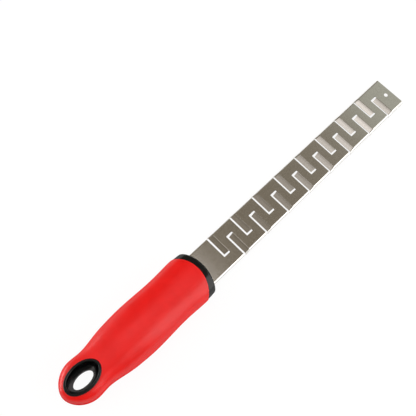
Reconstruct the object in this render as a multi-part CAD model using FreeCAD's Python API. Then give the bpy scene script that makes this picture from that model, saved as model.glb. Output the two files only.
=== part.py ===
import FreeCAD, Part
import math
import os

from FreeCAD import Vector

# A hand grater: a long etched steel blade with two staggered rows of L-shaped slots, held in an
# oval two-shot handle with a hanging eye. Millimetres. While it is built, x = 0 lies at the front
# of the handle, just behind the collar's nose, +x runs along the blade to its tip, +y is to the
# left seen from the handle, and z = 0 is the blade's upper face. At the end the whole is laid down
# as it rests on a table.

# Blade: a strip with both long edges folded down
blade_reach = 206.0
blade_width = 26.3
sheet = 0.4
fold_radius = 1.5
flange_height = 3.5
tip_hole_radius = 1.5
tip_hole_inset = 5.0

# Slots: each opens at one long edge, crosses the middle, and turns towards the tip. They share
# out the length between the plain part at the handle and the plain part at the tip.
slots_per_side = 8
first_slot = 19.5
plain_tip = 17.75
slot_gap = 1.6
slot_past_middle = 4.8
leg_gap = 1.2
corner_radius = 0.45
bevel_length = 0.8

# Tongue: the flat strip on the tip side of a slot, bent down at its root and splayed at its side
tongue_length = 4.0
tongue_bend = 0.3
tongue_drop = 1.0
tongue_flare = 0.35

# Tang: the part of the blade inside the handle
folded_tang = 9.0
tang_length = 46.0
tang_width = 17.0
tang_holes = 2
tang_hole_radius = 3.0
tang_hole_inset = 9.0
tang_hole_spacing = 15.0

# Handle stations, each with its distance behind the front, half width, height above the blade's
# face, depth below it, and the power of its rounded section (2 is an ellipse)
front = dict(back=-4.0, half_width=17.5, top=12.9, bottom=10.9, power=2.3)
flare = dict(back=11.0, half_width=18.2, top=13.7, bottom=11.7, power=2.3)
waist = dict(back=29.0, half_width=17.5, top=14.2, bottom=12.1, power=2.25)
belly = dict(back=58.0, half_width=18.2, top=15.6, bottom=14.2, power=2.2)
shoulder = dict(back=78.0, half_width=16.65, top=14.9, bottom=11.6, power=2.3)
neck = dict(back=91.0, half_width=14.2, top=13.8, bottom=8.3, power=2.7)
bulb = dict(back=103.0, half_width=14.45, top=13.4, bottom=7.8, power=3.4)
end_length = 16.4
end_power = 1.8

# Core, collar and soft grip
grip_wall = 2.8
grip_edge_round = 0.35
collar_inset = 0.4
collar_nose = 2.35
collar_nose_radius = 36.0
collar_edge_round = 1.6
seam_setback = 2.0
seam_radius = 25.6

# Hanging eye: an oval tube that narrows to a waist half way through, a little nearer to the
# handle's end, and the power of its flare (1 is a straight cone, 2 a round one)
eye_back = 102.3
eye_length = 26.9
eye_width = 18.1
eye_lip = 1.6
eye_proud = 0.5
eye_waist_length = 15.2
eye_waist_width = 7.7
eye_waist_shift = 0.6
eye_flare = 1.25
lip_round = 0.7

# How far cutting solids run past the handle, and past the thin blade
reach = 40.0
margin = 1.0

# How finely the curved forms are drawn
section_points = 20
station_step = 9.0
cap_steps = 6
eye_levels = 8
level_edge = 0.01
levelling_passes = 2


def blend(keys, name, back):
    """Value of one handle size at a distance behind the front, by smooth cubic spans."""
    xs = [key["back"] for key in keys]
    ys = [key[name] for key in keys]
    last = len(xs) - 1
    i = 0
    while i < last - 1 and back > xs[i + 1]:
        i += 1

    def slope(k):
        if k == 0 or k == last:
            return 0.0
        return (ys[k + 1] - ys[k - 1]) / (xs[k + 1] - xs[k - 1])

    span = xs[i + 1] - xs[i]
    t = (back - xs[i]) / span
    rise = ys[i + 1] - ys[i]
    m0 = slope(i) * span
    m1 = slope(i + 1) * span
    return ys[i] + t * (m0 + t * (3 * rise - 2 * m0 - m1 + t * (m0 + m1 - 2 * rise)))


def rounded_section(back, half_width, top, bottom, power):
    """Closed smooth wire across the handle: a superellipse, deeper or flatter below."""
    middle = (top - bottom) / 2
    half_height = (top + bottom) / 2
    points = []
    for i in range(section_points):
        angle = 2 * math.pi * i / section_points
        c = math.cos(angle)
        s = math.sin(angle)
        y = half_width * math.copysign(abs(c) ** (2 / power), c)
        z = middle + half_height * math.copysign(abs(s) ** (2 / power), s)
        points.append(Vector(-back, y, z))
    curve = Part.BSplineCurve()
    curve.interpolate(Points=points, PeriodicFlag=True)
    return Part.Wire([curve.toShape()])


def handle_body(inset):
    """The whole handle form, every face moved inwards by the inset."""
    keys = [front, flare, waist, belly, shoulder, neck, bulb]
    straight = bulb["back"] - front["back"]
    steps = math.ceil(straight / station_step)
    wires = []
    for i in range(steps + 1):
        back = front["back"] + straight * i / steps
        size = {name: blend(keys, name, back) for name in ("half_width", "top", "bottom", "power")}
        wires.append(rounded_section(back, size["half_width"] - inset, size["top"] - inset,
                                     size["bottom"] - inset, size["power"]))
    half_width = bulb["half_width"] - inset
    middle = (bulb["top"] - bulb["bottom"]) / 2
    half_height = (bulb["top"] + bulb["bottom"]) / 2 - inset
    for i in range(1, cap_steps):
        angle = math.pi / 2 * i / cap_steps
        along = math.sin(angle)
        in_plan = (1 - along ** end_power) ** (1 / end_power)
        in_height = (1 - along ** bulb["power"]) ** (1 / bulb["power"])
        wires.append(rounded_section(bulb["back"] + (end_length - inset) * along, half_width * in_plan,
                                     middle + half_height * in_height, half_height * in_height - middle,
                                     bulb["power"]))
    end = Vector(-bulb["back"] - end_length + inset, 0, middle)
    return Part.makeLoft(wires + [Part.Vertex(end)], True, False)


def box(x0, x1, y0, y1, z0, z1):
    """Solid block between two corners."""
    return Part.makeBox(x1 - x0, y1 - y0, z1 - z0, Vector(x0, y0, z0))


def side_profile(x, inner_y, side=1, shift=0.0, drop=0.0):
    """One side of the folded strip seen along x, from inner_y over the fold to the flange's edge.

    The shift and the drop move it outwards and down, as where a tongue is pressed.
    """
    outer_y = blade_width / 2
    fold = outer_y - fold_radius
    inner_radius = fold_radius - sheet
    diagonal = math.sqrt(0.5)

    def at(y, z):
        return Vector(x, side * (y + shift), z - drop)

    edges = [
        Part.LineSegment(at(inner_y, 0), at(fold, 0)),
        Part.Arc(at(fold, 0), at(fold + fold_radius * diagonal, fold_radius * (diagonal - 1)),
                 at(outer_y, -fold_radius)),
        Part.LineSegment(at(outer_y, -fold_radius), at(outer_y, -flange_height)),
        Part.LineSegment(at(outer_y, -flange_height), at(outer_y - sheet, -flange_height)),
        Part.LineSegment(at(outer_y - sheet, -flange_height), at(outer_y - sheet, -fold_radius)),
        Part.Arc(at(outer_y - sheet, -fold_radius),
                 at(fold + inner_radius * diagonal, inner_radius * diagonal - fold_radius),
                 at(fold, -sheet)),
        Part.LineSegment(at(fold, -sheet), at(inner_y, -sheet)),
        Part.LineSegment(at(inner_y, -sheet), at(inner_y, 0)),
    ]
    return Part.Wire([edge.toShape() for edge in edges])


def slot_window(edge_x, side):
    """Everything taken out of the strip at one slot: the cross cut, the leg and the tongue's place."""
    leg_y = -slot_past_middle
    root_x = edge_x + slot_gap + tongue_length
    window = box(edge_x, root_x, leg_y, blade_width / 2 + margin, -flange_height - margin, margin)
    corners = [edge for edge in window.Edges
               if edge.BoundBox.ZLength > flange_height and edge.BoundBox.YMax < leg_y + corner_radius]
    window = window.makeFillet(corner_radius, corners)
    bevel = Part.makePolygon([Vector(edge_x, leg_y, 0), Vector(edge_x, leg_y, -sheet),
                              Vector(edge_x - bevel_length, leg_y, -sheet), Vector(edge_x, leg_y, 0)])
    window = window.fuse(Part.Face(bevel).extrude(Vector(0, blade_width / 2 - fold_radius - leg_y, 0)))
    if side < 0:
        window = window.mirror(Vector(0, 0, 0), Vector(0, 1, 0))
    return window


def tongue(edge_x, side):
    """The pressed strip beside a slot: bent at its root, then flat down to its free end."""
    root_x = edge_x + slot_gap + tongue_length
    inner_y = leg_gap - slot_past_middle
    wires = []
    for run in (0.0, tongue_bend / 2, tongue_bend, tongue_length):
        bent = min(run, tongue_bend)
        share = (run - bent + bent * bent / (2 * tongue_bend)) / (tongue_length - tongue_bend / 2)
        wires.append(side_profile(root_x - run, inner_y, side, tongue_flare * share, tongue_drop * share))
    return Part.makeLoft(wires, True, True)


def slot_places():
    """Edge place and side of every slot, the right row half a pitch ahead of the left."""
    half_pitch = (blade_reach - plain_tip - first_slot) / (2 * slots_per_side - 1)
    return [(first_slot + i * half_pitch, 1 if i % 2 == 0 else -1) for i in range(2 * slots_per_side)]


def round_hole(x, radius):
    """Upright pin that cuts a hole through the blade on its centre line."""
    return Part.makeCylinder(radius, 2 * margin, Vector(x, 0, -margin))


def tang():
    """Flat end of the blade that the core is moulded round, with its locking holes."""
    strip = box(-tang_length, -folded_tang, -tang_width / 2, tang_width / 2, -sheet, 0)
    places = [tang_hole_inset - tang_length + i * tang_hole_spacing for i in range(tang_holes)]
    return strip.cut([round_hole(x, tang_hole_radius) for x in places])


def blade_shape():
    """The blade in one sheet, from the tang to the square tip."""
    run = Vector(blade_reach + folded_tang, 0, 0)
    halves = [Part.Face(side_profile(-folded_tang, 0.0, side)).extrude(run) for side in (1, -1)]
    strip = halves[0].fuse(halves[1]).removeSplitter()
    hole = round_hole(blade_reach - tip_hole_inset, tip_hole_radius)
    strip = strip.cut([slot_window(x, side) for x, side in slot_places()] + [hole])
    return strip.fuse([tongue(x, side) for x, side in slot_places()] + [tang()]).removeSplitter()


def bowed_column(front_x, radius):
    """Upright column whose round front comes to front_x on the centre line."""
    column = Part.makeCylinder(radius, 2 * reach, Vector(front_x - radius, 0, -reach))
    column.rotate(Vector(front_x - radius, 0, 0), Vector(0, 0, 1), 180)
    return column


def seam_zone():
    """Space behind the seam between the soft grip and the collar, bowed towards the blade."""
    middle_x = -seam_setback - seam_radius
    behind = box(-bulb["back"] - end_length - margin, middle_x, -reach, reach, -reach, reach)
    return bowed_column(-seam_setback, seam_radius).fuse(behind)


def front_edges(shape):
    """Edges of a handle solid that lie round its bowed front face."""
    return [edge for edge in shape.Edges if edge.BoundBox.XMin > -seam_setback - seam_radius]


def collar(zone):
    """Hard collar ahead of the seam, with a bowed nose and a rounded front edge."""
    blank = handle_body(collar_inset).common(bowed_column(collar_nose, collar_nose_radius))
    return blank.makeFillet(collar_edge_round, front_edges(blank)).cut(zone)


def oval(z, length, width, shift=0.0):
    """Level oval wire round the hanging eye's axis, or shifted towards the handle's end."""
    ellipse = Part.Ellipse(Vector(-eye_back - shift, 0, z), length / 2, width / 2)
    return Part.Wire([ellipse.toShape()])


def eye_tube(low, high):
    """Solid oval column with the hanging eye's outline."""
    return Part.Face(oval(low, eye_length, eye_width)).extrude(Vector(0, 0, high - low))


def eye_hole(low, high):
    """Opening through the eye, wide at both faces and narrow at the waist."""
    mouth_length = eye_length - 2 * eye_lip
    mouth_width = eye_width - 2 * eye_lip
    wires = []
    for i in range(eye_levels + 1):
        opened = abs(2 * i / eye_levels - 1) ** eye_flare
        wires.append(oval(low + (high - low) * i / eye_levels,
                          eye_waist_length + (mouth_length - eye_waist_length) * opened,
                          eye_waist_width + (mouth_width - eye_waist_width) * opened,
                          eye_waist_shift * (1 - opened)))
    return Part.makeLoft(wires, True, False)


def hanging_eye():
    """Hard oval tube through the handle's end, with round lips and a narrow waist."""
    low = -bulb["bottom"] - eye_proud
    high = bulb["top"] + eye_proud
    tube = eye_tube(low, high).cut(eye_hole(low, high))
    lips = [edge for edge in tube.Edges if edge.BoundBox.ZLength < level_edge]
    return tube.makeFillet(lip_round, lips)


def handle_core(zone, blade):
    """Hard core in one moulding: collar, body under the grip and hanging eye, round the tang."""
    low = -bulb["bottom"] - eye_proud
    high = bulb["top"] + eye_proud
    inner = handle_body(grip_wall).common(zone).cut(eye_tube(low, high))
    return inner.fuse([collar(zone), hanging_eye()]).cut(blade)


def grip_sleeve(zone):
    """Soft grip moulded over the core, from the seam to round the hanging eye."""
    skin = handle_body(0.0).common(zone)
    skin = skin.makeFillet(grip_edge_round, front_edges(skin))
    return skin.cut([handle_body(grip_wall), eye_tube(-reach, reach)])


def lowest(shape):
    """Level of a shape's lowest point."""
    return shape.optimalBoundingBox(False, False).ZMin


def lay_down(pieces):
    """Turn the pieces until belly and last tongue are level, with the origin under their middle."""
    tongue_x = blade_reach - plain_tip + slot_gap
    for _ in range(levelling_passes):
        fall = lowest(pieces["blade"]) - lowest(pieces["grip_sleeve"])
        angle = math.degrees(math.atan2(fall, tongue_x + belly["back"]))
        for piece in pieces.values():
            piece.rotate(Vector(0, 0, 0), Vector(0, 1, 0), angle)
    whole = Part.makeCompound(list(pieces.values())).optimalBoundingBox(False, False)
    for piece in pieces.values():
        piece.translate(Vector(-whole.Center.x, 0, -whole.ZMin))


def main():
    """Build the pieces and write one file for each."""
    os.makedirs("parts", exist_ok=True)
    zone = seam_zone()
    blade = blade_shape()
    pieces = {
        "blade": blade,
        "handle_core": handle_core(zone, blade),
        "grip_sleeve": grip_sleeve(zone),
    }
    lay_down(pieces)
    for name, piece in pieces.items():
        piece.exportStep(f"parts/{name}.step")
        print(name, piece.isValid(), len(piece.Solids), round(piece.Volume, 1), piece.BoundBox)


main()
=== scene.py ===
"""Looks for a hand grater: a slotted steel blade held in an oval black and red handle.

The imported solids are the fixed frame. Lengths are in metres, in the frame's own axes: +x towards the
blade's tip, +z up, the origin under the middle of the object.
"""

import logging
import math
from dataclasses import dataclass
from enum import Enum

import bpy
from mathutils import Matrix, Vector


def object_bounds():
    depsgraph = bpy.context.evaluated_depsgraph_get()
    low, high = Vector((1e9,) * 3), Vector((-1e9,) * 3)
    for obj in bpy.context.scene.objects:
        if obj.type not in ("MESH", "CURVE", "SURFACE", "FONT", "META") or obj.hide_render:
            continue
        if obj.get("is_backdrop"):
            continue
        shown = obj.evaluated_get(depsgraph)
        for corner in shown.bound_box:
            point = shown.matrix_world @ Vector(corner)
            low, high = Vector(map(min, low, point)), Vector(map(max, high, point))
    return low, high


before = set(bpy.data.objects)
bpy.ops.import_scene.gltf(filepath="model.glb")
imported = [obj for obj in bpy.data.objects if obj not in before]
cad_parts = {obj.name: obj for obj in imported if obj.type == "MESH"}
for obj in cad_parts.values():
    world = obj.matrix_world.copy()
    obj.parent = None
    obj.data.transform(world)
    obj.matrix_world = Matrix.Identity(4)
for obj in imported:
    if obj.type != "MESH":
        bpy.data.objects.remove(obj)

log = logging.getLogger("grater")

Colour = tuple[float, float, float]
Place = tuple[float, float, float]
Span = tuple[float, float]
Box = tuple[Vector, Vector]
WHITE: Colour = (1.0, 1.0, 1.0)


class Slot(Enum):
    """Material slots of the record that the pieces take their finish from."""

    STEEL = "steel"
    BLACK = "black_plastic"
    RED = "soft_grip"


class Ray(Enum):
    """Kinds of ray, by the outputs of the Light Path node that tell them."""

    CAMERA = "Is Camera Ray"
    GLOSSY = "Is Glossy Ray"
    TRANSMISSION = "Is Transmission Ray"


class Output(Enum):
    """What a node tree belongs to, by the type of its output node."""

    MATERIAL = "ShaderNodeOutputMaterial"
    WORLD = "ShaderNodeOutputWorld"
    LAMP = "ShaderNodeOutputLight"


class Role(Enum):
    """What a lamp is hung for."""

    LIGHT = "to light surfaces"
    MIRRORED = "to show in glossy surfaces"


def linear(red: int, green: int, blue: int) -> Colour:
    """Turn a colour as it looks on a screen into the renderer's linear values.

    Args:
        red: Red, 0 to 255.
        green: Green, 0 to 255.
        blue: Blue, 0 to 255.

    Returns:
        The three linear values, 0 to 1.
    """
    def channel(value: int) -> float:
        """Linear value of one channel."""
        share = value / 255
        return share / 12.92 if share <= 0.04045 else ((share + 0.055) / 1.055) ** 2.4

    return channel(red), channel(green), channel(blue)


class Field:
    """A value that varies over a surface: one output socket, with Python's operators."""

    def __init__(self, graph: "Graph", socket: bpy.types.NodeSocket) -> None:
        """Wrap a socket of the graph."""
        self.graph = graph
        self.socket = socket

    def __add__(self, other: "Field | float") -> "Field":
        """Sum."""
        return self.graph.maths("ADD", self, other)

    __radd__ = __add__

    def __sub__(self, other: "Field | float") -> "Field":
        """Difference."""
        return self.graph.maths("SUBTRACT", self, other)

    def __rsub__(self, other: float) -> "Field":
        """Difference from a number."""
        return self.graph.maths("SUBTRACT", other, self)

    def __mul__(self, other: "Field | float") -> "Field":
        """Product."""
        return self.graph.maths("MULTIPLY", self, other)

    __rmul__ = __mul__

    def __truediv__(self, other: "Field | float") -> "Field":
        """Quotient."""
        return self.graph.maths("DIVIDE", self, other)

    def __rtruediv__(self, other: float) -> "Field":
        """Quotient of a number by this value."""
        return self.graph.maths("DIVIDE", other, self)

    def __abs__(self) -> "Field":
        """Distance from nought."""
        return self.graph.maths("ABSOLUTE", self)

    def raised(self, power: float) -> "Field":
        """This value raised to a power."""
        return self.graph.maths("POWER", self, power)

    def fraction(self) -> "Field":
        """How far the value lies above the whole number below it."""
        return self.graph.maths("FRACT", self)

    def above(self, limit: float) -> "Field":
        """1 where the value is over a limit, and 0 elsewhere."""
        return self.graph.maths("GREATER_THAN", self, limit)

    def below(self, limit: float) -> "Field":
        """1 where the value is under a limit, and 0 elsewhere."""
        return self.graph.maths("LESS_THAN", self, limit)

    def at_least(self, other: "Field | float") -> "Field":
        """The greater of this value and another."""
        return self.graph.maths("MAXIMUM", self, other)

    def ramp(self, low: float, high: float) -> "Field":
        """Rise smoothly from 0 at low to 1 at high, or fall where low is the greater.

        Args:
            low: The value that gives 0.
            high: The value that gives 1.

        Returns:
            The smoothed share, 0 to 1.
        """
        if low > high:
            return 1 - self.ramp(high, low)
        settings = {"interpolation_type": "SMOOTHSTEP"}
        inputs = {"Value": self, "From Min": low, "From Max": high}
        return self.graph.add("ShaderNodeMapRange", settings, inputs)


class Graph:
    """The node tree of a material, a lamp or the world, filled through one method."""

    def __init__(self, tree: bpy.types.NodeTree) -> None:
        """Start from an empty tree."""
        tree.nodes.clear()
        self.tree = tree

    def add(self, kind: str, settings: dict[str, object] | None = None,
            inputs: dict[int | str, object] | None = None, output: int | str = 0) -> Field:
        """Add a node of any kind.

        Args:
            kind: The node's type.
            settings: Its properties, such as a Math node's operation, which are set first.
            inputs: A value or a field for each socket, by index, name or identifier.
            output: The output that is wanted, by index, name or identifier.

        Returns:
            The wanted output.
        """
        node = self.tree.nodes.new(kind)
        for name, value in (settings or {}).items():
            setattr(node, name, value)
        for key, value in (inputs or {}).items():
            socket = self._socket(node.inputs, key)
            if isinstance(value, Field):
                self.tree.links.new(value.socket, socket)
            else:
                socket.default_value = self._fitted(value)
        return Field(self, self._socket(node.outputs, output))

    @staticmethod
    def _socket(sockets: bpy.types.bpy_prop_collection, key: int | str) -> bpy.types.NodeSocket:
        """Find a socket of a node.

        Args:
            sockets: The node's inputs or outputs.
            key: The socket's index, identifier or name.

        Returns:
            The socket.
        """
        if isinstance(key, int):
            return sockets[key]
        return next(s for s in sockets if key in (s.identifier, s.name))

    @staticmethod
    def _fitted(value: object) -> object:
        """Give a colour its fourth value and leave anything else as it is."""
        return (*value, 1.0) if isinstance(value, tuple) else value

    def maths(self, operation: str, *values: Field | float) -> Field:
        """Work out a value from others, which a Math node takes in their order."""
        return self.add("ShaderNodeMath", {"operation": operation}, dict(enumerate(values)))

    def mix(self, share: Field | float, first: Field | Colour, second: Field | Colour) -> Field:
        """Blend two colours.

        Args:
            share: How much of the second there is, 0 to 1.
            first: The colour where the share is 0.
            second: The colour where the share is 1.

        Returns:
            The blended colour.
        """
        inputs = {"Factor_Float": share, "A_Color": first, "B_Color": second}
        return self.add("ShaderNodeMix", {"data_type": "RGBA"}, inputs, "Result_Color")

    def blend(self, share: Field, first: Field, second: Field) -> Field:
        """Blend two shaders, where the share is how much of the second there is."""
        return self.add("ShaderNodeMixShader", inputs={0: share, 1: first, 2: second})

    def place(self) -> Field:
        """Place on the object, in the frame's metres."""
        return self.add("ShaderNodeTexCoord", output="Object")

    def parts(self, vector: Field) -> tuple[Field, Field, Field]:
        """Split a vector.

        Args:
            vector: The vector.

        Returns:
            Its x, y and z.
        """
        node = self.add("ShaderNodeSeparateXYZ", inputs={0: vector}).socket.node
        x, y, z = (Field(self, socket) for socket in node.outputs)
        return x, y, z

    def noise(self, vector: Field, size: float | Place, detail: float) -> Field:
        """Cloudy pattern with features of about the given size.

        Args:
            vector: Where the pattern is read.
            size: Size of its features in metres, one number or one for each axis.
            detail: How many finer layers it has.

        Returns:
            A value about 0.5, from 0 to 1.
        """
        sizes = size if isinstance(size, tuple) else (size, size, size)
        scale = Vector([1 / one for one in sizes])
        spread = self.add("ShaderNodeVectorMath", {"operation": "MULTIPLY"}, {0: vector, 1: scale})
        return self.add("ShaderNodeTexNoise", {"noise_dimensions": "3D"},
                        {"Vector": spread, "Scale": 1.0, "Detail": detail}, "Fac")

    def bump(self, height: Field, depth: float) -> Field:
        """Surface direction of a relief.

        Args:
            height: The relief, 0 to 1.
            depth: Its depth in metres.

        Returns:
            The direction, for a shader's Normal.
        """
        return self.add("ShaderNodeBump", inputs={"Height": height, "Distance": depth, "Strength": 1.0})

    def ray(self, kind: Ray) -> Field:
        """1 where a surface is met by a ray of one kind."""
        return self.add("ShaderNodeLightPath", output=kind.value)

    def straight_view(self) -> Field:
        """1 where the camera sees a surface itself or through glass, rather than mirrored."""
        return self.ray(Ray.CAMERA).at_least(self.ray(Ray.TRANSMISSION))

    def finish(self, shader: Field, output: Output = Output.MATERIAL) -> None:
        """Add the tree's output node and send it a shader."""
        node = self.tree.nodes.new(output.value)
        self.tree.links.new(shader.socket, node.inputs["Surface"])


def new_material(name: str) -> tuple[bpy.types.Material, Graph]:
    """Make a material with an empty graph.

    Args:
        name: The material's name.

    Returns:
        The material and its graph.
    """
    material = bpy.data.materials.new(name)
    material.use_nodes = True
    return material, Graph(material.node_tree)


def dress(node: str, material: bpy.types.Material, slot: Slot) -> None:
    """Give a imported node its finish.

    Args:
        node: The node's name.
        material: The finish.
        slot: The record's slot that the finish belongs to.
    """
    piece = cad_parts[node]
    for holder in piece.material_slots:
        holder.material = material
    log.info("%s dressed in %s for slot %s", node, material.name, slot.value)


@dataclass(frozen=True)
class TongueRow:
    """One row of pressed tongues, with painted shade that darkens the metal at each root.

    Attributes:
        first_root: Place along x of the root that is nearest the handle.
        side: 1 for the row that opens at the blade's +y edge, and -1 for the other.
        pitch: From one root to the next.
        count: How many tongues the row has.
        ease: From a root back to where the painted shade has faded out.
        inner_end: Where the tongues end, counted from the blade's middle towards the row's own side.
        weakest: How strongly the painted shade shows near the handle.
        strengthens: Places along x between which the painted shade comes to show in full.
    """

    first_root: float
    side: float
    pitch: float = 0.022482
    count: int = 8
    ease: float = 0.0025
    inner_end: float = -0.0053
    weakest: float = 0.45
    strengthens: Span = (-0.03, 0.14)

    def bend(self, graph: Graph, place: Field) -> Field:
        """Share of painted shade at a point, strongest at a tongue's root.

        Args:
            graph: The graph that the value is for.
            place: Place on the blade.

        Returns:
            1 at a root, falling to 0 along the tongue, and 0 off the row.
        """
        x, y, _ = graph.parts(place)
        pitches = (self.first_root - x) / self.pitch
        behind = pitches.fraction() * self.pitch
        on_row = pitches.above(1.0 - self.count) * pitches.below(1.0)
        outward = (y * self.side).above(self.inner_end)
        strength = x.ramp(*self.strengthens) * (1.0 - self.weakest) + self.weakest
        return behind.ramp(self.ease, 0.0) * on_row * outward * strength


@dataclass(frozen=True)
class Fold:
    """The folded long edges, rougher and carrying a painted highlight from one distance off the blade's
    middle to another.
    """

    rub_and_sheen_from: float = 0.0115
    rub_and_sheen_full: float = 0.0127

    def rub_and_sheen(self, graph: Graph, place: Field) -> Field:
        """Share of extra roughness and painted highlight at a point, 0 to 1."""
        _, across, _ = graph.parts(place)
        return abs(across).ramp(self.rub_and_sheen_from, self.rub_and_sheen_full)


@dataclass(frozen=True)
class EtchedSteel:
    """Thin stainless strip, rolled, etched and lightly brushed.

    Attributes:
        light: Its paler tone.
        dark: Its darker tone.
        painted_root_shade: Painted shade at the roots of the tongues.
        painted_edge_highlight: Painted highlight along the folded edges.
        roughness: Its usual roughness.
        unevenness: How far the mottle and the grain move the roughness.
        rub_and_sheen: How much rougher the folded edges are, where a painted highlight also lies.
        mottle: Size of the cloudy etching.
        mottle_tone: The mottle's share of the tone. The grain has the rest.
        mottle_relief: The mottle's share of the relief. The grain has the rest.
        grain: Size of the brushed streaks, along each axis.
        depth: Depth of the relief.
        tones: Where the darker tone gives way to the paler one.
    """

    light: Colour = linear(214, 209, 199)
    dark: Colour = linear(202, 196, 186)
    painted_root_shade: Colour = linear(168, 163, 153)
    painted_edge_highlight: Colour = linear(231, 230, 227)
    roughness: float = 0.14
    unevenness: float = 0.05
    rub_and_sheen: float = 0.08
    mottle: float = 0.0009
    mottle_tone: float = 0.7
    mottle_relief: float = 0.4
    grain: Place = (0.012, 0.00022, 0.00022)
    depth: float = 0.0000015
    tones: Span = (0.35, 0.65)

    def material(self, rows: tuple[TongueRow, ...], fold: Fold) -> bpy.types.Material:
        """Build the finish's material.

        Args:
            rows: The rows of tongues whose roots get painted shade.
            fold: The folded edges that get extra roughness and a painted highlight.

        Returns:
            The material.
        """
        material, graph = new_material("etched_steel")
        place = graph.place()
        mottle = graph.noise(place, self.mottle, detail=4.0)
        grain = graph.noise(place, self.grain, detail=3.0)
        tone = mottle * self.mottle_tone + grain * (1.0 - self.mottle_tone)
        relief = mottle * self.mottle_relief + grain * (1.0 - self.mottle_relief)
        # Painted shade at the tongues' roots, standing in for how their soft curve darkens in the light.
        bend = sum(row.bend(graph, place) for row in rows)
        # Painted highlight along the folded edges, which are also made rougher.
        rub_and_sheen = fold.rub_and_sheen(graph, place)
        plain = graph.mix(tone.ramp(*self.tones), self.dark, self.light)
        drift = (mottle + grain - 1.0) * self.unevenness
        graph.finish(graph.add("ShaderNodeBsdfPrincipled", inputs={
            "Base Color": graph.mix(rub_and_sheen, graph.mix(bend, plain, self.painted_root_shade), self.painted_edge_highlight),
            "Metallic": 1.0,
            "Roughness": drift + rub_and_sheen * self.rub_and_sheen + self.roughness,
            "Normal": graph.bump(relief, self.depth),
        }))
        return material


@dataclass(frozen=True)
class Moulding:
    """A moulded finish, whose gloss fades where it is seen edge-on.

    Attributes:
        density: Its index of refraction.
        fades: How far a surface is turned from the eye, 0 to 1, where the gloss starts to fade and is gone.
    """

    density: float = 1.45
    fades: Span = (0.3, 1.0)

    def shader(self, graph: Graph, colour: Field, roughness: Field, relief: Field) -> Field:
        """Build the finish's shader.

        Args:
            graph: The graph that the shader is for.
            colour: Its colour.
            roughness: Its roughness.
            relief: Its surface direction.

        Returns:
            The shader.
        """
        gloss = graph.add("ShaderNodeBsdfPrincipled", inputs={
            "Base Color": colour, "Roughness": roughness, "Normal": relief, "IOR": self.density,
        })
        matt = graph.add("ShaderNodeBsdfPrincipled", inputs={
            "Base Color": colour, "Roughness": 1.0, "Normal": relief, "Specular IOR Level": 0.0,
        })
        turned = graph.add("ShaderNodeLayerWeight", inputs={"Blend": 0.5}, output="Facing")
        return graph.blend(turned.ramp(*self.fades), gloss, matt)


@dataclass(frozen=True)
class GlossBlack(Moulding):
    """Hard black moulding, polished, with a faint ripple and finger marks.

    Attributes:
        colour: Its own colour.
        worn: Its colour under a mark.
        roughness: Its own roughness.
        smear: How much rougher it is under a mark.
        marks: Size of the marks.
        marked: Where the cloudy pattern starts to be a mark and where it is one in full.
        ripple: Size of the ripple.
        depth: Depth of the ripple.
    """

    colour: Colour = linear(5, 5, 6)
    worn: Colour = linear(14, 14, 15)
    roughness: float = 0.14
    smear: float = 0.14
    marks: float = 0.006
    marked: Span = (0.4, 0.75)
    ripple: float = 0.0025
    depth: float = 0.000004

    def material(self) -> bpy.types.Material:
        """Build the finish's material.

        Returns:
            The material.
        """
        material, graph = new_material("gloss_black")
        place = graph.place()
        marks = graph.noise(place, self.marks, detail=5.0).ramp(*self.marked)
        ripple = graph.noise(place, self.ripple, detail=2.0)
        colour = graph.mix(marks, self.colour, self.worn)
        roughness = marks * self.smear + self.roughness
        graph.finish(self.shader(graph, colour, roughness, graph.bump(ripple, self.depth)))
        return material


@dataclass(frozen=True)
class SoftRed(Moulding):
    """Soft red rubber with the fine satin texture of its mould.

    Attributes:
        deep: Its deeper tone.
        bright: Its brighter tone.
        roughness: Its usual roughness.
        unevenness: How far the clouds move the roughness.
        clouds: Size of the clouds that its tone drifts in.
        tones: Where the deeper tone gives way to the brighter one.
        texture: Size of the mould's texture.
        depth: Depth of the texture.
    """

    deep: Colour = linear(229, 9, 7)
    bright: Colour = linear(236, 13, 10)
    roughness: float = 0.3
    unevenness: float = 0.1
    clouds: float = 0.009
    tones: Span = (0.3, 0.7)
    texture: float = 0.00035
    depth: float = 0.000012

    def material(self) -> bpy.types.Material:
        """Build the finish's material.

        Returns:
            The material.
        """
        material, graph = new_material("soft_red")
        place = graph.place()
        clouds = graph.noise(place, self.clouds, detail=3.0)
        texture = graph.noise(place, self.texture, detail=1.0)
        colour = graph.mix(clouds.ramp(*self.tones), self.deep, self.bright)
        roughness = (clouds - 0.5) * self.unevenness + self.roughness
        graph.finish(self.shader(graph, colour, roughness, graph.bump(texture, self.depth)))
        return material


@dataclass(frozen=True)
class Blade:
    """The slotted steel strip, with two staggered rows of tongues between its folded edges."""

    node: str = "blade"
    left_row: TongueRow = TongueRow(first_root=-0.01822, side=1.0)
    right_row: TongueRow = TongueRow(first_root=-0.00698, side=-1.0)
    fold: Fold = Fold()
    finish: EtchedSteel = EtchedSteel()

    def build(self) -> None:
        """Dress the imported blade."""
        dress(self.node, self.finish.material((self.left_row, self.right_row), self.fold), Slot.STEEL)


@dataclass(frozen=True)
class HandleCore:
    """The hard moulding: collar, body and hanging eye."""

    node: str = "handle_core"
    finish: GlossBlack = GlossBlack()

    def build(self) -> None:
        """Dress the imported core."""
        dress(self.node, self.finish.material(), Slot.BLACK)


@dataclass(frozen=True)
class GripSleeve:
    """The soft sleeve over the core."""

    node: str = "grip_sleeve"
    finish: SoftRed = SoftRed()

    def build(self) -> None:
        """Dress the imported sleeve."""
        dress(self.node, self.finish.material(), Slot.RED)


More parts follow.
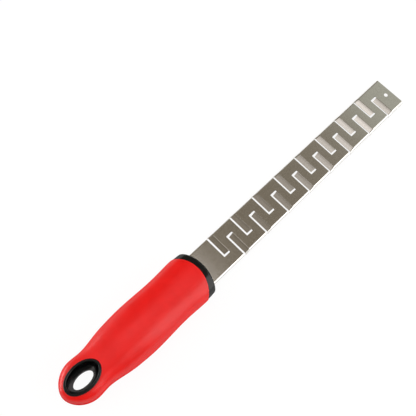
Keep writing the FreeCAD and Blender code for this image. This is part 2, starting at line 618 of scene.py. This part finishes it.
@dataclass(frozen=True)
class Floor:
    """Plain white floor that keeps a faint shadow of the object.

    Attributes:
        size: Length of each side.
        colour: Its colour in the light.
        shade: Its colour in the darker clouds of the paper.
        clouds: Size of those clouds.
        roughness: Its roughness.
        glow: Brightness of its own glow.
        shown: The glow's share of what the camera sees.
        mirrored: The glow's share of what glossy surfaces mirror.
    """

    size: float = 6.0
    colour: Colour = (0.93, 0.93, 0.93)
    shade: Colour = (0.9, 0.9, 0.9)
    clouds: float = 0.05
    roughness: float = 0.8
    glow: float = 1.03
    shown: float = 0.9
    mirrored: float = 0.5

    def build(self) -> None:
        """Lay the floor under the object."""
        half = self.size / 2
        mesh = bpy.data.meshes.new("floor")
        corners = [(-half, -half, 0.0), (half, -half, 0.0), (half, half, 0.0), (-half, half, 0.0)]
        mesh.from_pydata(corners, [], [(0, 1, 2, 3)])
        floor = bpy.data.objects.new("floor", mesh)
        bpy.context.scene.collection.objects.link(floor)
        mesh.materials.append(self._material())
        floor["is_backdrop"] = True
        log.info("floor laid")

    def _material(self) -> bpy.types.Material:
        """Build the floor's material, mostly glowing white to the camera and partly in reflections.

        Returns:
            The material.
        """
        material, graph = new_material("white_floor")
        clouds = graph.noise(graph.place(), self.clouds, detail=3.0)
        paper = graph.add("ShaderNodeBsdfPrincipled", inputs={
            "Base Color": graph.mix(clouds, self.colour, self.shade),
            "Roughness": self.roughness,
        })
        glow = graph.add("ShaderNodeEmission", inputs={"Color": WHITE, "Strength": self.glow})
        to_camera = graph.straight_view() * self.shown
        share = to_camera.at_least(graph.ray(Ray.GLOSSY) * self.mirrored)
        graph.finish(graph.blend(share, paper, glow))
        return material


def toward(azimuth: float, elevation: float) -> Vector:
    """Unit vector of a direction, both angles in degrees, the azimuth turning from +x to +y."""
    turn, rise = math.radians(azimuth), math.radians(elevation)
    return Vector((math.cos(rise) * math.cos(turn), math.cos(rise) * math.sin(turn), math.sin(rise)))


@dataclass(frozen=True)
class Panel:
    """A soft-edged pale panel of the room, mirrored by the steel.

    Its edges are slopes: how far a direction leans along x or y for each unit that it rises.

    Attributes:
        light: Its colour and brightness.
        starts: Lean along x from which it shows a little.
        full: Lean along x from which it shows in full.
        near: Lean along y of the edge towards -y.
        far: Lean along y of the edge towards +y.
        soft: Width of the soft bands outside those two edges.
        fades: Lean along x up to which it shows in full, out of reach unless it is given.
        stops: Lean along x from which it is gone, out of reach unless it is given.
    """

    light: Colour
    starts: float
    full: float
    near: float
    far: float
    soft: float
    fades: float = 90.0
    stops: float = 100.0

    def share(self, lean_x: Field, lean_y: Field) -> Field:
        """How much of the panel shows in a direction.

        Args:
            lean_x: The direction's lean along x.
            lean_y: The direction's lean along y.

        Returns:
            The share, 0 to 1.
        """
        across = lean_y.ramp(self.near - self.soft, self.near) * lean_y.ramp(self.far + self.soft, self.far)
        return lean_x.ramp(self.starts, self.full) * lean_x.ramp(self.stops, self.fades) * across


@dataclass(frozen=True)
class Surroundings:
    """A dim warm room with pale panels that the steel mirrors, and a white backdrop to the camera.

    Attributes:
        room: Colour and brightness of the room.
        panels: Its panels.
        lowest_rise: The least rise that a direction's lean is worked out with.
    """

    room: Colour = (0.25, 0.221, 0.179)
    panels: tuple[Panel, ...] = (
        Panel(light=(0.6, 0.6, 0.63), starts=0.07, full=0.14, near=0.03, far=0.3, soft=0.05,
              fades=0.19, stops=0.25),
        Panel(light=(0.06, 0.063, 0.068), starts=0.313, full=0.676, near=-0.4, far=0.6, soft=0.3),
        Panel(light=(0.25, 0.3, 0.3), starts=0.655, full=0.68, near=-0.3, far=0.5, soft=0.15),
    )
    lowest_rise: float = 0.05

    def build(self) -> None:
        """Set up the world."""
        world = bpy.data.worlds.new("studio")
        bpy.context.scene.world = world
        world.use_nodes = True
        graph = Graph(world.node_tree)
        x, y, up = graph.parts(graph.add("ShaderNodeTexCoord", output="Generated"))
        rise = up.at_least(self.lowest_rise)
        lean_x, lean_y = x / rise, y / rise
        light = self._backdrop(graph, self.room)
        for panel in self.panels:
            glow = self._backdrop(graph, panel.light, panel.share(lean_x, lean_y))
            light = graph.add("ShaderNodeAddShader", inputs={0: light, 1: glow})
        shown = graph.blend(graph.straight_view(), light, self._backdrop(graph, WHITE))
        graph.finish(shown, Output.WORLD)

    @staticmethod
    def _backdrop(graph: Graph, colour: Colour, strength: Field | float = 1.0) -> Field:
        """Shader of a backdrop of one colour."""
        return graph.add("ShaderNodeBackground", inputs={"Color": colour, "Strength": strength})


def hang_lamp(name: str, width: float, height: float, brightness: float, role: Role) -> bpy.types.Object:
    """Make a rectangular lamp that faces down.

    Args:
        name: Its name.
        width: Its size along its own x.
        height: Its size along its own y.
        brightness: Brightness of its face, where a white card in plain light has 1.
        role: What it is hung for.

    Returns:
        The lamp's object.
    """
    lamp = bpy.data.lights.new(name, "AREA")
    lamp.shape = "RECTANGLE"
    lamp.size = width
    lamp.size_y = height
    lamp.energy = brightness * math.pi * width * height
    holder = bpy.data.objects.new(name, lamp)
    bpy.context.scene.collection.objects.link(holder)
    holder.visible_diffuse = role is Role.LIGHT
    holder.visible_glossy = role is Role.MIRRORED
    log.info("%s hung %s", name, role.value)
    return holder


@dataclass(frozen=True)
class Softbox:
    """A large rectangular lamp that faces the object.

    Attributes:
        name: Its name.
        role: What it is hung for.
        azimuth: Its direction round the object, in degrees from +x to +y.
        elevation: Its direction above the floor, in degrees.
        width: Its size from side to side.
        height: Its size the other way.
        brightness: Brightness of its face, where a white card in plain light has 1.
        distance: Its distance from the origin.
    """

    name: str
    role: Role
    azimuth: float
    elevation: float
    width: float
    height: float
    brightness: float
    distance: float = 1.5

    def build(self) -> None:
        """Hang the lamp."""
        away = toward(self.azimuth, self.elevation)
        holder = hang_lamp(self.name, self.width, self.height, self.brightness, self.role)
        holder.location = away * self.distance
        holder.rotation_euler = away.to_track_quat("Z", "Y").to_euler()


@dataclass(frozen=True)
class CeilingCard:
    """A pale strip over the blade, which its pressed tongues mirror, brightest beyond the tip.

    Attributes:
        centre: Place of its middle.
        length: Its size along x.
        width: Its size along y.
        colour: Its colour.
        brightness: Brightness of its bright end, where a white card in plain light has 1.
        rise: How steeply it brightens towards that end.
    """

    centre: Place = (-0.04675, 0.175, 1.2)
    length: float = 0.6535
    width: float = 0.27
    colour: Colour = (0.93, 0.93, 1.0)
    brightness: float = 1.35
    rise: float = 2.6

    def build(self) -> None:
        """Hang the card."""
        holder = hang_lamp("ceiling_card", self.length, self.width, self.brightness, Role.MIRRORED)
        holder.location = self.centre
        lamp = holder.data
        lamp.color = self.colour
        lamp.use_nodes = True
        graph = Graph(lamp.node_tree)
        along, _, _ = graph.parts(graph.add("ShaderNodeNewGeometry", output="Parametric"))
        glow = graph.add("ShaderNodeEmission", inputs={"Strength": along.raised(self.rise)})
        graph.finish(glow, Output.LAMP)


STUDIO: tuple[Softbox | CeilingCard, ...] = (
    Softbox("right_lamp", Role.LIGHT, azimuth=-57.5, elevation=32.5, width=1.37, height=1.91,
            brightness=2.0),
    Softbox("left_lamp", Role.LIGHT, azimuth=125.0, elevation=28.0, width=1.6, height=1.5,
            brightness=1.7),
    Softbox("top_lamp", Role.LIGHT, azimuth=90.0, elevation=86.0, width=1.8, height=1.8,
            brightness=1.3, distance=2.2),
    Softbox("right_card", Role.MIRRORED, azimuth=-57.5, elevation=29.0, width=1.37, height=1.66,
            brightness=1.9),
    Softbox("left_card", Role.MIRRORED, azimuth=128.0, elevation=10.5, width=1.73, height=0.54,
            brightness=6.0),
    CeilingCard(),
)


@dataclass(frozen=True)
class Viewpoint:
    """The camera, placed by its direction and distance from a point on the blade.

    Attributes:
        target: The point that it looks at.
        azimuth: Its direction round that point, in degrees from +x to +y.
        elevation: Its direction above that point, in degrees.
        distance: Its distance from that point.
        roll: Its turn about its own line of sight, in degrees.
        lens: Focal length of its lens, in millimetres.
        sensor: Width of its sensor, in millimetres.
    """

    target: Place = (-0.007007, 0.028048, 0.012013)
    azimuth: float = -142.1948
    elevation: float = 70.2997
    distance: float = 0.483968
    roll: float = 7.6394
    lens: float = 60.061
    sensor: float = 36.0

    def build(self) -> None:
        """Place the camera and look through it."""
        data = bpy.data.cameras.new("camera")
        data.lens = self.lens
        data.sensor_width = self.sensor
        camera = bpy.data.objects.new("camera", data)
        bpy.context.scene.collection.objects.link(camera)
        away = toward(self.azimuth, self.elevation)
        right = Vector((0.0, 0.0, 1.0)).cross(away).normalized()
        level = Matrix((right, away.cross(right), away)).transposed().to_4x4()
        turn = level @ Matrix.Rotation(math.radians(self.roll), 4, "Z")
        camera.matrix_world = Matrix.Translation(Vector(self.target) + away * self.distance) @ turn
        bpy.context.scene.camera = camera


def write_sizes(visual: Box) -> None:
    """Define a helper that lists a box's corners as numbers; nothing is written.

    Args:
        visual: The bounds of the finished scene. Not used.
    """
    def plain(bounds: Box) -> list[list[float]]:
        """Corners as lists of numbers."""
        return [[float(value) for value in corner] for corner in bounds]


def main() -> None:
    """Dress the object, light it and place the camera."""
    logging.basicConfig(level=logging.INFO, format="%(message)s")
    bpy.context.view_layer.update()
    for assembly in (Blade(), HandleCore(), GripSleeve()):
        assembly.build()
    for staging in (Floor(), Surroundings(), *STUDIO, Viewpoint()):
        staging.build()
    scene = bpy.context.scene
    scene.view_settings.view_transform = "Standard"
    write_sizes(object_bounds())


if __name__ == "__main__":
    main()
